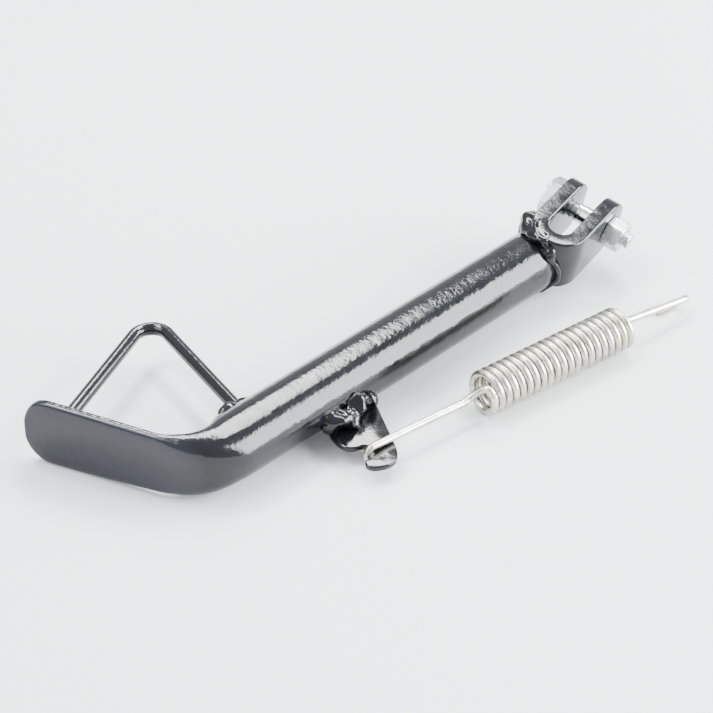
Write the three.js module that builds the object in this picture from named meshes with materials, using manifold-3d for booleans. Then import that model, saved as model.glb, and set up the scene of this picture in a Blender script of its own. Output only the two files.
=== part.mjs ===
// Motorcycle side stand (kickstand) with its pivot hardware and return spring.
// Millimetres, +Z up. The origin is the centre of the pivot bolt, midway between the clevis ears.
// +X runs along the leg tube towards the clevis, +Y is the side that the foot turns to.
// The stand is lying flat, resting on its foot, its clevis weld and its spring.
import * as THREE from 'three';
import { mergeVertices } from 'three/addons/utils/BufferGeometryUtils.js';
import Module from 'manifold-3d';

const wasm = await Module();
wasm.setup();

// ---- driving dimensions ----
const GAP = 0.3; // clearance between pieces that touch in use
const REACH = 60; // how far a cutting tool runs past what it cuts

const TUBE_R = 13.45; // 26.9 mm pipe
const TUBE_WALL = 2.6;
const TUBE_Z = -7.3; // height of the leg's axis, from the pivot
const SURFACE_Z = -23.5; // what the stand lies on

const BEND_X = -226.5; // where the centre lines of leg and foot cross
const BEND_ANGLE = deg(109.7); // direction of the foot, from +X
const BEND_R = 16;
const FOOT_LENGTH = 77.4; // from the crossing of the centre lines to the tip
const FOOT_DROP = 1; // the foot's middle lies this far below the leg's axis at the tip
const FOOT_HALF_HEIGHT = TUBE_Z - SURFACE_Z - FOOT_DROP; // at the tip; it widens all the way from the bend
const FOOT_HALF_THICK = 2.9; // two walls pressed together, out at the tube's sole side
const SQUASH_LEAD = -1; // how far before the bend the section starts to flatten
const SQUASH_TAIL = 8; // and how far past it it goes on
const TIP_LENGTH = 11;
const TIP_HALF = 3.5; // half height of the blunt end
const SOLE_POWER = 8; // how square the sole side of the foot's section is
const SOLE_LAND = 0.96; // share of its bulge at which the sole is levelled off
const BACK_POWER = 2.6;
const BORE_END_X = -206;

const CLEVIS_YAW = deg(9.8);
const CLEVIS_PITCH = deg(-5);
const CLEVIS_ROLL = deg(13.7);
const EAR_THICK = 7.3;
const EAR_GAP = 11.3;
const EAR_OUTSIDE = EAR_GAP / 2 + EAR_THICK;
const STRIP_UP = 12.6; // from the bolt's axis to the strip's upper edge
const STRIP_DOWN = 14; // and to its lower edge
const WEB_REACH = 37.5; // from the pivot back to the outside of the web
const WEB_CENTRE = EAR_OUTSIDE - WEB_REACH;
const BOLT_HOLE_R = 3.9;

const WELD_R = TUBE_Z - SURFACE_Z; // outside of the bead round the clevis joint
const WELD_CENTRE_X = -36;
const WELD_HALF_LENGTH = 8;

const BOLT_R = 3.5;
const HEAD_FLATS = 18;
const HEAD_HEIGHT = 5.8;
const HEAD_TURN = deg(19.8);
const NUT_FLATS = 13;
const NUT_HEIGHT = 8;
const NUT_TURN = deg(2.1);
const THREAD_PROUD = 3; // thread that shows past the nut
const CHAMFER_SHARE = 0.97; // end face of head and nut, as a share of the width across flats
const BUSH_R = 4.6;
const BUSH_LENGTH = 8.3;

const TAB_TOP_Z = -15.6;
const TAB_THICK = 2.5;
const TAB_BEAD_START_X = -174;
const TAB_BEAD_LENGTH = 24;
// The tab's outline, measured from the spring's seat: an end point for each straight edge,
// a control point and an end point for each curved one.
const TAB_START = [24.5, 28.3];
const TAB_EDGES = [
  [24.3, 19.8],
  [10.5, -3.7],
  [7.7, -8.7, 3.5, -10.7],
  [-1.5, -11.7, -5.9, -7.7],
  [-8.5, -4.2, -5.1, -2.1],
  [-1, -1.9],
  [2.2, -1.5, 2.2, 1.7],
  [2.2, 5.1, -0.9, 5.7],
  [-5.3, 7.1, -5.1, 12],
  [-4.5, 17.8, -2.2, 21],
  [-2.2, 28.3],
];

const ROD_R = 3;
const LOOP_APEX = new THREE.Vector2(-179.2, 89.7); // where the centre lines of its two legs cross
const LOOP_BEND_R = 8;
const LOOP_FOOT_ANGLE = deg(-157.4);
const LOOP_LEG_ANGLE = deg(-104.3);
const LOOP_FOOT_LENGTH = 84.5; // from the apex to inside the foot
const LOOP_LEG_LENGTH = 82;
const FOOT_BEAD_R = 5.6;
const FOOT_BEAD_INSET = 3.4; // from the rod's end back to the bead's centre
const LEG_BEAD_R = 6;
const LEG_BEAD_INSET = 3.4;
const LEG_BEAD_STRETCH = 1.7; // along the tube

const WIRE_R = 1.7;
const COIL_R = 8.2; // to the centre of the wire
const COIL_TURNS = 20.5;
const COIL_PITCH = 3.78;
const COIL_START_TURN = deg(150); // where the first turn starts, from the side the leg is on
const COIL_START = 57.5; // from the hook's seat to the first turn
const SPRING_SEAT = new THREE.Vector3(-173.5, -34.3, TAB_TOP_Z + GAP + WIRE_R);
const SPRING_YAW = deg(-8.5);
const NEAR_HOOK_R = TAB_THICK / 2 + GAP + WIRE_R + 0.05;
const NEAR_HOOK_TAIL = 9;
// How the near wire climbs from the axis to the first turn: the way back from its start, then
// how far out and how far up, as shares of the coil's radius.
const NEAR_RUN_IN = [
  [9, 0, 0],
  [5.6, 0, 0.15],
  [2.6, 0.25, 0.52],
  [1.4, 0.52, 0.66],
  [0.8, 0.7, 0.7],
];
const FAR_HOOK_R = 4.6;
const FAR_HOOK_TAIL = 8;
const FAR_HOOK_TILT = deg(-45); // the far hook curls down and away from the leg's near side
const FAR_REACH = 42.5; // from the last turn to the end of the far hook
const FAR_RISE = 2; // the far wire leaves above the coil's axis
const FAR_DROP = 1.6; // and ends below it

// ---- shared helpers ----
function deg(degrees) {
  return (degrees * Math.PI) / 180;
}

function finish(color, roughness, metalness) {
  return new THREE.MeshStandardMaterial({ color, roughness, metalness });
}

function named(name, shape, material) {
  const geometry = shape.isBufferGeometry ? shape : toGeometry(shape);
  const mesh = new THREE.Mesh(geometry, material);
  mesh.name = name;
  return mesh;
}

function toSolid(source) {
  const bare = source.clone();
  bare.deleteAttribute('normal');
  bare.deleteAttribute('uv');
  const geometry = mergeVertices(bare, 1e-4);
  return new wasm.Manifold(
    new wasm.Mesh({
      numProp: 3,
      vertProperties: new Float32Array(geometry.attributes.position.array),
      triVerts: new Uint32Array(geometry.index.array),
    }),
  );
}

function toGeometry(solid) {
  const { vertProperties, triVerts } = solid.getMesh();
  const geometry = new THREE.BufferGeometry();
  geometry.setAttribute('position', new THREE.BufferAttribute(vertProperties, 3));
  geometry.setIndex(new THREE.BufferAttribute(triVerts, 1));
  geometry.computeVertexNormals();
  return geometry;
}

function circle(radius) {
  const shape = new THREE.Shape();
  shape.absarc(0, 0, radius, 0, 2 * Math.PI);
  return shape;
}

function prism(shape, depth, curveSegments = 16) {
  const geometry = new THREE.ExtrudeGeometry(shape, { depth, bevelEnabled: false, curveSegments });
  return geometry.translate(0, 0, -depth / 2);
}

function rod(points, radius, steps, curveSegments = 8) {
  const extrudePath = new THREE.CatmullRomCurve3(points);
  const options = { steps, extrudePath, bevelEnabled: false, curveSegments };
  return new THREE.ExtrudeGeometry(circle(radius), options);
}

function cylinderAlongX(radius, fromX, toX, sides = 48) {
  const geometry = new THREE.CylinderGeometry(radius, radius, toX - fromX, sides);
  return geometry.rotateZ(Math.PI / 2).translate((fromX + toX) / 2, 0, 0);
}

function ringAboutY(innerR, outerR, fromY, toY, segments = 28) {
  const corners = [
    new THREE.Vector2(innerR, fromY),
    new THREE.Vector2(outerR, fromY),
    new THREE.Vector2(outerR, toY),
    new THREE.Vector2(innerR, toY),
    new THREE.Vector2(innerR, fromY),
  ];
  return new THREE.LatheGeometry(corners, segments);
}

// ---- leg tube, with its flattened foot ----
const turn = Math.PI - BEND_ANGLE;
const bendTangent = BEND_R * Math.tan(turn / 2);
const bendStart = -BEND_X - bendTangent;
const bendArc = BEND_R * turn;
const footDirection = new THREE.Vector2(Math.cos(BEND_ANGLE), Math.sin(BEND_ANGLE));
const legLength = bendStart + bendArc - bendTangent + FOOT_LENGTH;
const squashStart = bendStart - SQUASH_LEAD;
const squashEnd = bendStart + bendArc + SQUASH_TAIL;
const LEAD_SHARE = 0.1;
const TAIL_SHARE = 0.8;

// The point on the leg's centre line at a distance from x = 0, and the direction that the sole faces there.
function legPath(distance) {
  if (distance < bendStart) {
    return { centre: new THREE.Vector2(-distance, 0), sole: new THREE.Vector2(0, -1) };
  }
  if (distance < bendStart + bendArc) {
    const angle = (distance - bendStart) / BEND_R;
    const sole = new THREE.Vector2(-Math.sin(angle), -Math.cos(angle));
    const centre = new THREE.Vector2(-bendStart, BEND_R).addScaledVector(sole, BEND_R);
    return { centre, sole };
  }
  const alongFoot = distance - bendStart - bendArc + bendTangent;
  const centre = new THREE.Vector2(BEND_X, 0).addScaledVector(footDirection, alongFoot);
  return { centre, sole: new THREE.Vector2(-footDirection.y, footDirection.x) };
}

// Where a share of the leg's cross-sections has been used: few on the straights, most round the bend.
function legStation(share) {
  if (share < LEAD_SHARE) return (squashStart * share) / LEAD_SHARE;
  if (share > TAIL_SHARE) return THREE.MathUtils.mapLinear(share, TAIL_SHARE, 1, squashEnd, legLength);
  return THREE.MathUtils.mapLinear(share, LEAD_SHARE, TAIL_SHARE, squashStart, squashEnd);
}

// A point of the leg's section: round at flatness 0, a thin flat-soled plate at flatness 1, and
// as tall as the tube at spread 0, as the foot's end at spread 1.
function legSection(unitX, unitY, flatness, spread, offset) {
  const squareness = unitX > 0 ? SOLE_POWER : BACK_POWER;
  const power = 2 / THREE.MathUtils.lerp(2, squareness, flatness);
  const soften = (value) => Math.sign(value) * Math.abs(value) ** power;
  const land = THREE.MathUtils.lerp(1, SOLE_LAND, flatness);
  const half = THREE.MathUtils.lerp(TUBE_R, FOOT_HALF_THICK, flatness) + offset;
  const shift = (TUBE_R - FOOT_HALF_THICK) * flatness;
  return {
    across: shift + (Math.min(soften(unitX), land) / land) * half,
    up: soften(unitY) * (THREE.MathUtils.lerp(TUBE_R, FOOT_HALF_HEIGHT, spread) + offset) - FOOT_DROP * spread,
  };
}

function legOutside(offset = 0) {
  const options = { depth: 1, steps: 44, bevelEnabled: false, curveSegments: 20 };
  const geometry = new THREE.ExtrudeGeometry(circle(1), options);
  const position = geometry.attributes.position;
  for (let i = 0; i < position.count; i += 1) {
    const distance = legStation(position.getZ(i));
    const { centre, sole } = legPath(distance);
    const flatness = THREE.MathUtils.smoothstep(distance, squashStart, squashEnd);
    const spread = THREE.MathUtils.smoothstep(distance, bendStart, legLength - TIP_LENGTH);
    const { across, up } = legSection(position.getX(i), position.getY(i), flatness, spread, offset);
    position.setXYZ(i, centre.x + sole.x * across, centre.y + sole.y * across, TUBE_Z + up);
  }
  return toSolid(geometry);
}

// What is cut away round the rounded end of the foot, seen square to the sole.
function tipCutter() {
  const start = FOOT_LENGTH - TIP_LENGTH;
  const half = FOOT_HALF_HEIGHT + GAP;
  const outline = new THREE.Shape();
  outline.moveTo(start, half);
  outline.lineTo(start, REACH);
  outline.lineTo(FOOT_LENGTH + REACH, REACH);
  outline.lineTo(FOOT_LENGTH + REACH, -REACH);
  outline.lineTo(start, -REACH);
  outline.lineTo(start, -half);
  outline.bezierCurveTo(start + TIP_LENGTH / 2, -half, FOOT_LENGTH, -TIP_HALF * 2.5, FOOT_LENGTH, -TIP_HALF);
  outline.lineTo(FOOT_LENGTH, TIP_HALF);
  outline.bezierCurveTo(FOOT_LENGTH, TIP_HALF * 2.5, start + TIP_LENGTH / 2, half, start, half);
  const along = new THREE.Vector3(footDirection.x, footDirection.y, 0);
  const up = new THREE.Vector3(0, 0, 1);
  const basis = new THREE.Matrix4().makeBasis(along, up, along.clone().cross(up));
  basis.setPosition(BEND_X, 0, TUBE_Z - FOOT_DROP);
  return toSolid(prism(outline, REACH, 8).applyMatrix4(basis));
}

// ---- clevis frame: x towards the ear tips, y towards the bolt head, z across the strip ----
const clevisFrame = new THREE.Group();
clevisFrame.rotation.set(CLEVIS_ROLL, CLEVIS_PITCH, CLEVIS_YAW, 'ZYX');
clevisFrame.updateMatrixWorld();

function clevisSolid() {
  const outer = EAR_OUTSIDE;
  const inner = EAR_GAP / 2;
  const strap = new THREE.Shape();
  strap.moveTo(REACH, -outer);
  strap.lineTo(REACH, -inner);
  strap.lineTo(WEB_CENTRE, -inner);
  strap.absarc(WEB_CENTRE, 0, inner, -Math.PI / 2, Math.PI / 2, true);
  strap.lineTo(REACH, inner);
  strap.lineTo(REACH, outer);
  strap.lineTo(WEB_CENTRE, outer);
  strap.absarc(WEB_CENTRE, 0, outer, Math.PI / 2, -Math.PI / 2, false);
  const side = new THREE.Shape();
  side.moveTo(-REACH, -STRIP_DOWN);
  side.lineTo(0, -STRIP_DOWN);
  side.absellipse(0, 0, STRIP_UP, STRIP_DOWN, -Math.PI / 2, 0, false);
  side.absarc(0, 0, STRIP_UP, 0, Math.PI / 2, false);
  side.lineTo(-REACH, STRIP_UP);
  const ears = toSolid(prism(side, REACH, 24).rotateX(Math.PI / 2));
  return toSolid(prism(strap, REACH, 24)).intersect(ears);
}

// Everything on the clevis side of the web's rounded back.
function clevisSide() {
  const back = new THREE.CylinderGeometry(EAR_OUTSIDE + GAP, EAR_OUTSIDE + GAP, 2 * REACH, 64);
  back.rotateX(Math.PI / 2).translate(WEB_CENTRE, 0, 0);
  const ahead = new THREE.BoxGeometry(2 * REACH, 2 * REACH, 2 * REACH);
  ahead.translate(REACH - WEB_REACH + WELD_HALF_LENGTH / 2, 0, 0);
  return [back, ahead].map((tool) => toSolid(tool.applyMatrix4(clevisFrame.matrixWorld)));
}

function legTube() {
  const bore = cylinderAlongX(TUBE_R - TUBE_WALL, BORE_END_X, REACH).translate(0, 0, TUBE_Z);
  const cut = [tipCutter(), toSolid(bore), ...clevisSide()];
  return cut.reduce((solid, tool) => solid.subtract(tool), legOutside());
}

function clevis() {
  const hole = new THREE.CylinderGeometry(BOLT_HOLE_R, BOLT_HOLE_R, REACH, 32);
  return clevisSolid().subtract(toSolid(hole));
}

// The bead round the joint of tube and clevis leans as the clevis does.
function clevisWeld() {
  const innerR = TUBE_R + GAP;
  const profile = new THREE.Path();
  profile.moveTo(innerR, -WELD_HALF_LENGTH);
  profile.lineTo(innerR + GAP, -WELD_HALF_LENGTH);
  profile.quadraticCurveTo(WELD_R, -WELD_HALF_LENGTH, WELD_R, 0);
  profile.quadraticCurveTo(WELD_R, WELD_HALF_LENGTH, innerR + GAP, WELD_HALF_LENGTH);
  profile.lineTo(innerR, WELD_HALF_LENGTH);
  profile.lineTo(innerR, -WELD_HALF_LENGTH);
  const ring = new THREE.LatheGeometry(profile.getPoints(4), 36).rotateZ(-Math.PI / 2);
  const lean = new THREE.Matrix4().makeShear(0, 0, 0, 0, Math.tan(CLEVIS_PITCH), 0);
  ring.applyMatrix4(lean).translate(WELD_CENTRE_X, 0, TUBE_Z);
  return clevisSide().reduce((solid, tool) => solid.subtract(tool), toSolid(ring));
}

// ---- pivot hardware, in the clevis frame ----
// A hexagon from the ear's face out to a chamfered end, both on the y axis.
function hexagon(flats, faceY, endY, turned) {
  const corner = flats / 2 / Math.cos(Math.PI / 6);
  const chamfer = corner - (flats / 2) * CHAMFER_SHARE;
  const height = Math.abs(endY - faceY);
  const body = new THREE.CylinderGeometry(corner, corner, height, 6).translate(0, height / 2, 0);
  const profile = [
    new THREE.Vector2(0, -GAP),
    new THREE.Vector2(corner + GAP, -GAP),
    new THREE.Vector2(corner + GAP, height - (chamfer + GAP) / 2),
    new THREE.Vector2(corner - chamfer, height),
    new THREE.Vector2(0, height),
  ];
  const outwards = new THREE.Matrix4().makeRotationX(endY < faceY ? Math.PI : 0);
  const placed = new THREE.Matrix4().makeRotationY(turned).multiply(outwards).setPosition(0, faceY, 0);
  const cone = new THREE.LatheGeometry(profile, 36);
  return toSolid(body.applyMatrix4(placed)).intersect(toSolid(cone.applyMatrix4(placed)));
}

function shankAlongY(radius, fromY, toY) {
  const geometry = new THREE.CylinderGeometry(radius, radius, toY - fromY, 28);
  return toSolid(geometry.translate(0, (fromY + toY) / 2, 0));
}

const nutFace = -(EAR_OUTSIDE + GAP);
const nutEnd = nutFace - NUT_HEIGHT;
const headFace = EAR_OUTSIDE + GAP;

function pivotBolt() {
  const head = hexagon(HEAD_FLATS, headFace, headFace + HEAD_HEIGHT, HEAD_TURN);
  return head.add(shankAlongY(BOLT_R, nutEnd - THREAD_PROUD, headFace + GAP));
}

function pivotNut() {
  const nut = hexagon(NUT_FLATS, nutFace, nutEnd, NUT_TURN);
  return nut.subtract(shankAlongY(BOLT_R + GAP, nutEnd - GAP, nutFace + GAP));
}

function pivotBush() {
  const start = -EAR_GAP / 2 + GAP;
  return ringAboutY(BOLT_R + GAP, BUSH_R, start, start + BUSH_LENGTH);
}

// ---- spring tab and its weld beads ----
function springTab() {
  const outline = new THREE.Shape();
  outline.moveTo(...TAB_START);
  for (const edge of TAB_EDGES) {
    if (edge.length === 2) outline.lineTo(...edge);
    else outline.quadraticCurveTo(...edge);
  }
  const plate = prism(outline, TAB_THICK, 6);
  plate.translate(SPRING_SEAT.x, SPRING_SEAT.y, TAB_TOP_Z - TAB_THICK / 2);
  const tube = cylinderAlongX(TUBE_R + GAP, -REACH * 4, REACH).translate(0, 0, TUBE_Z);
  return toSolid(plate).subtract(toSolid(tube));
}

// A bead between the tube and one face of the tab: side is 1 above the tab and -1 below it.
function tabBead(side, tubeAngle, legOnTab, bulge) {
  const radius = TUBE_R + GAP;
  const face = side > 0 ? TAB_TOP_Z + GAP - TUBE_Z : TAB_TOP_Z - TAB_THICK - GAP - TUBE_Z;
  const faceAngle = Math.PI + Math.asin(-face / radius);
  const farY = -radius * Math.cos(faceAngle - Math.PI) - legOnTab;
  const tubeEnd = new THREE.Vector2(Math.cos(tubeAngle), Math.sin(tubeAngle)).multiplyScalar(radius);
  const outline = new THREE.Shape();
  outline.moveTo(farY, face);
  outline.absarc(0, 0, radius, faceAngle, tubeAngle, side > 0);
  const middle = new THREE.Vector2((tubeEnd.x + farY) / 2 - bulge, (tubeEnd.y + face) / 2 + side * bulge);
  outline.quadraticCurveTo(middle.x, middle.y, farY, face);
  const basis = new THREE.Matrix4().makeBasis(
    new THREE.Vector3(0, 1, 0),
    new THREE.Vector3(0, 0, 1),
    new THREE.Vector3(1, 0, 0),
  );
  basis.setPosition(TAB_BEAD_START_X + TAB_BEAD_LENGTH / 2, 0, TUBE_Z);
  return prism(outline, TAB_BEAD_LENGTH, 10).applyMatrix4(basis);
}

// ---- kick loop ----
function loopPoint(angle, length) {
  return new THREE.Vector3(
    LOOP_APEX.x + Math.cos(angle) * length,
    LOOP_APEX.y + Math.sin(angle) * length,
    TUBE_Z,
  );
}

const loopSpread = LOOP_LEG_ANGLE - LOOP_FOOT_ANGLE;
const loopTangent = LOOP_BEND_R / Math.tan(loopSpread / 2);
const footJoint = loopPoint(LOOP_FOOT_ANGLE, LOOP_FOOT_LENGTH);
const legJoint = loopPoint(LOOP_LEG_ANGLE, LOOP_LEG_LENGTH);
const footBeadCentre = loopPoint(LOOP_FOOT_ANGLE, LOOP_FOOT_LENGTH - FOOT_BEAD_INSET);
const legBeadCentre = loopPoint(LOOP_LEG_ANGLE, LOOP_LEG_LENGTH - LEG_BEAD_INSET);

function loopRod(radius) {
  const middleAngle = (LOOP_FOOT_ANGLE + LOOP_LEG_ANGLE) / 2;
  const bendCentre = loopPoint(middleAngle, LOOP_BEND_R / Math.sin(loopSpread / 2));
  const points = [];
  for (const share of [0, 0.25, 0.5, 0.75, 0.95]) {
    points.push(footJoint.clone().lerp(loopPoint(LOOP_FOOT_ANGLE, loopTangent), share));
  }
  const arcStart = LOOP_FOOT_ANGLE - Math.PI / 2;
  const arcSweep = -(Math.PI - loopSpread);
  for (const share of [0, 0.2, 0.4, 0.6, 0.8, 1]) {
    const angle = arcStart + arcSweep * share;
    const offset = new THREE.Vector3(Math.cos(angle), Math.sin(angle), 0);
    points.push(bendCentre.clone().addScaledVector(offset, LOOP_BEND_R));
  }
  for (const share of [0.95, 0.75, 0.5, 0.25, 0]) {
    points.push(legJoint.clone().lerp(loopPoint(LOOP_LEG_ANGLE, loopTangent), share));
  }
  return toSolid(rod(points, radius, 46, 6));
}

function loopBead(centre, radius, stretch) {
  const ball = new THREE.SphereGeometry(radius, 24, 16).scale(stretch, 1, 1);
  ball.translate(centre.x, centre.y, centre.z);
  return toSolid(ball).subtract(legOutside(GAP)).subtract(loopRod(ROD_R + GAP));
}

// ---- return spring, in a frame with x along the spring and z up ----
const springFrame = new THREE.Group();
springFrame.position.copy(SPRING_SEAT);
springFrame.rotation.z = SPRING_YAW;

function arcPoints(centre, from, towards, count) {
  // half a turn that starts at `from` and swings through `towards`, both of one length
  const points = [];
  for (let i = 0; i <= count; i += 1) {
    const angle = (Math.PI * i) / count;
    const point = centre.clone().addScaledVector(from, Math.cos(angle));
    points.push(point.addScaledVector(towards, Math.sin(angle)));
  }
  return points;
}

function coilPoint(turns) {
  const angle = COIL_START_TURN + 2 * Math.PI * turns;
  const x = COIL_START + COIL_PITCH * turns;
  return new THREE.Vector3(x, COIL_R * Math.cos(angle), COIL_R * Math.sin(angle));
}

function springCoil() {
  const stepsPerTurn = 14;
  const points = [];
  for (let i = 0; i <= COIL_TURNS * stepsPerTurn; i += 1) {
    points.push(coilPoint(i / stepsPerTurn));
  }
  return rod(points, WIRE_R, COIL_TURNS * stepsPerTurn, 3);
}

function nearHook() {
  const centre = new THREE.Vector3(1.5, 0, -NEAR_HOOK_R);
  const bottom = new THREE.Vector3(0, 0, -NEAR_HOOK_R);
  const back = new THREE.Vector3(-NEAR_HOOK_R, 0, 0);
  const bend = arcPoints(centre, bottom, back, 8);
  const tail = bend[0].clone();
  tail.x += NEAR_HOOK_TAIL;
  const points = [tail, bend[0].clone().lerp(tail, 0.5), ...bend];
  for (const share of [0.14, 0.35, 0.6, 0.75]) {
    points.push(new THREE.Vector3(COIL_START * share, 0, 0));
  }
  for (const [back, out, up] of NEAR_RUN_IN) {
    points.push(new THREE.Vector3(COIL_START - back, -COIL_R * out, COIL_R * up));
  }
  return toSolid(rod(points, WIRE_R, 48, 4));
}

function farHook() {
  const curl = new THREE.Vector3(0, Math.cos(FAR_HOOK_TILT), Math.sin(FAR_HOOK_TILT));
  const coilEnd = COIL_START + COIL_TURNS * COIL_PITCH;
  const bendX = coilEnd + FAR_REACH - FAR_HOOK_R - WIRE_R;
  const centre = new THREE.Vector3(bendX, 0, -FAR_DROP).addScaledVector(curl, FAR_HOOK_R);
  const start = curl.clone().multiplyScalar(-FAR_HOOK_R);
  const bend = arcPoints(centre, start, new THREE.Vector3(FAR_HOOK_R, 0, 0), 10);
  const tail = bend[bend.length - 1].clone();
  tail.x -= FAR_HOOK_TAIL;
  const points = [new THREE.Vector3(coilEnd + WIRE_R + GAP + 0.6, 0, FAR_RISE)];
  for (const share of [0.25, 0.5, 0.75, 0.95]) {
    points.push(points[0].clone().lerp(bend[0], share));
  }
  points.push(...bend, tail.clone().lerp(bend[bend.length - 1], 0.5), tail);
  return toSolid(rod(points, WIRE_R, 44, 4));
}

// ---- assembly ----
const blackPaint = finish(0x14171c, 0.22, 0);
const weldPaint = finish(0x101216, 0.15, 0);
const zinc = finish(0xc3cbca, 0.34, 1);
const brightSteel = finish(0xd9dcdc, 0.25, 1);
const springWire = finish(0xbfbcb4, 0.38, 1);

clevisFrame.add(
  named('clevis', clevis(), blackPaint),
  named('pivot_bolt', pivotBolt(), zinc),
  named('pivot_nut', pivotNut(), zinc),
  named('pivot_bush', pivotBush(), brightSteel),
);

springFrame.add(
  named('spring_near_hook', nearHook(), springWire),
  named('spring_coil', springCoil(), springWire),
  named('spring_far_hook', farHook(), springWire),
);

const kickstand = new THREE.Group();
kickstand.add(
  named('leg_tube', legTube(), blackPaint),
  named('clevis_weld', clevisWeld(), weldPaint),
  named('spring_tab', springTab(), blackPaint),
  named('tab_weld_upper', tabBead(1, Math.PI - deg(4), 7.5, 1), weldPaint),
  named('tab_weld_lower', tabBead(-1, Math.PI + deg(74), 5.5, 0.6), weldPaint),
  named('kick_loop', loopRod(ROD_R).subtract(legOutside(GAP)), blackPaint),
  named('loop_foot_weld', loopBead(footBeadCentre, FOOT_BEAD_R, 1), weldPaint),
  named('loop_leg_weld', loopBead(legBeadCentre, LEG_BEAD_R, LEG_BEAD_STRETCH), weldPaint),
  clevisFrame,
  springFrame,
);

export default kickstand;
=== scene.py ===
# Looks of the motorcycle side stand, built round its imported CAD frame.
# Lengths are in millimetres until they become meshes. Material depths, the floor, the lights and the
# camera are in metres.
import math
import random

import bpy
import numpy as np
from mathutils import Matrix, Vector, noise


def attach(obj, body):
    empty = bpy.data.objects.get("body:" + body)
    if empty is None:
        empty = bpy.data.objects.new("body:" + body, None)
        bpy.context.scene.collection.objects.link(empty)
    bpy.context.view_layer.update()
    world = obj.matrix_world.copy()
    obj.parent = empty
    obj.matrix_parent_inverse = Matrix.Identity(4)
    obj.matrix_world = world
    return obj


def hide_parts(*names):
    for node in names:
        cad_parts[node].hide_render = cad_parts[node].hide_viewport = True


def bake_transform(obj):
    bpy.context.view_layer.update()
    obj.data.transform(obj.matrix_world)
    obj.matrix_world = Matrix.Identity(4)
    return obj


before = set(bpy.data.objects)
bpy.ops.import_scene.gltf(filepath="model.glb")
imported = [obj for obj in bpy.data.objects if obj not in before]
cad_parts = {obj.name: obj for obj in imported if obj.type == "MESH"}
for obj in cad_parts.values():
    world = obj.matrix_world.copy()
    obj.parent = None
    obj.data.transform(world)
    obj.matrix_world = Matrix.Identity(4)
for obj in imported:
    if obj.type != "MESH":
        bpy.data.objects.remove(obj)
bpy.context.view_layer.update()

MM = 0.001
FULL_TURN = 2 * math.pi
UP = np.array((0.0, 0.0, 1.0))
chance = random.Random(11)
LAST_PHASE = 6.28

# ---- dimensions shared with the CAD part ----
TUBE_R = 13.45
TUBE_Z = -7.3
SURFACE_Z = -23.5
BEND_X = -226.5
BEND_ANGLE = math.radians(109.7)
BEND_R = 16.0
FOOT_LENGTH = 77.4
FOOT_DROP = 1.0
FOOT_HALF_HEIGHT = 15.18
FOOT_HALF_THICK = 2.9
SQUASH_LEAD = -1.0
SQUASH_TAIL = 8.0
TIP_LENGTH = 11.0
TIP_HALF = 3.5
TIP_POWER = 2.2
SOLE_POWER = 4.6
BACK_POWER = 2.6

CLEVIS_YAW = math.radians(9.8)
CLEVIS_PITCH = math.radians(-5.0)
CLEVIS_ROLL = math.radians(13.7)
EAR_THICK = 7.3
EAR_GAP = 11.3
EAR_OUTSIDE = EAR_GAP / 2 + EAR_THICK
EAR_MIDDLE = EAR_OUTSIDE - EAR_THICK / 2
STRIP_UP = 12.6
STRIP_DOWN = 14.0
WEB_CENTRE = EAR_OUTSIDE - 37.5
GAP = 0.3
BOLT_HOLE_R = 3.9
BOLT_R = 3.5
HEAD_FLATS = 18.0
HEAD_HEIGHT = 5.8
HEAD_TURN = math.radians(19.8)
NUT_FLATS = 13.0
NUT_HEIGHT = 8.0
NUT_TURN = math.radians(2.1)
THREAD_PROUD = 3.0
BUSH_R = 4.6
BUSH_LENGTH = 8.3

TAB_TOP_Z = -15.6
TAB_THICK = 2.5
SPRING_SEAT = np.array((-173.5, -34.3, -13.6))
SPRING_YAW = math.radians(-8.5)
WIRE_R = 1.58
COIL_R = 8.15
COIL_TURNS = 20.5
COIL_PITCH = 3.78
COIL_START = 57.5
COIL_START_TURN = math.radians(150)
NEAR_HOOK_R = 3.3
NEAR_HOOK_SET = 1.5
NEAR_HOOK_TAIL = 9.0
FAR_HOOK_R = 4.6
FAR_HOOK_TAIL = 8.0
FAR_HOOK_TILT = math.radians(-45)
FAR_REACH = 42.5
FAR_RISE = 2.0
FAR_DROP = 1.6

ROD_R = 2.86
LOOP_APEX = np.array((-179.2, 89.7))
LOOP_BEND_R = 8.0
LOOP_FOOT_ANGLE = math.radians(-157.4)
LOOP_LEG_ANGLE = math.radians(-104.3)
LOOP_FOOT_LENGTH = 83.0
LOOP_LEG_LENGTH = 80.0


# ---- small helpers ----
def unit(vector):
    return vector / np.linalg.norm(vector)


def smoothstep(value, low, high):
    share = min(max((value - low) / (high - low), 0.0), 1.0)
    return share * share * (3 - 2 * share)


def mix(a, b, share):
    return a + (b - a) * share


def round_drop(share):
    """How far a rounded edge has fallen away, 0 at its start and 1 at its end."""
    return 1 - math.sqrt(max(0.0, 1 - share * share))


def ripples(count, lowest, highest):
    """A smooth, uneven function of one or two values: a sum of sines with fixed random paces and phases."""
    waves = []
    for _ in range(count):
        first_pace = chance.uniform(lowest, highest)
        second_pace = chance.uniform(lowest, highest)
        waves.append((first_pace, second_pace, chance.uniform(0, LAST_PHASE)))

    def value(a, b=0.0):
        return sum(math.sin(p * a + q * b + r) for p, q, r in waves) / count

    return value


def add_mesh(name, points, faces, material, smooth=True):
    mesh = bpy.data.meshes.new(name)
    mesh.from_pydata([tuple(np.asarray(p, float) * MM) for p in points], [], faces)
    mesh.validate()
    mesh.update()
    mesh.materials.append(material)
    for polygon in mesh.polygons:
        polygon.use_smooth = smooth
    piece = bpy.data.objects.new(name, mesh)
    bpy.context.scene.collection.objects.link(piece)
    return piece


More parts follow.
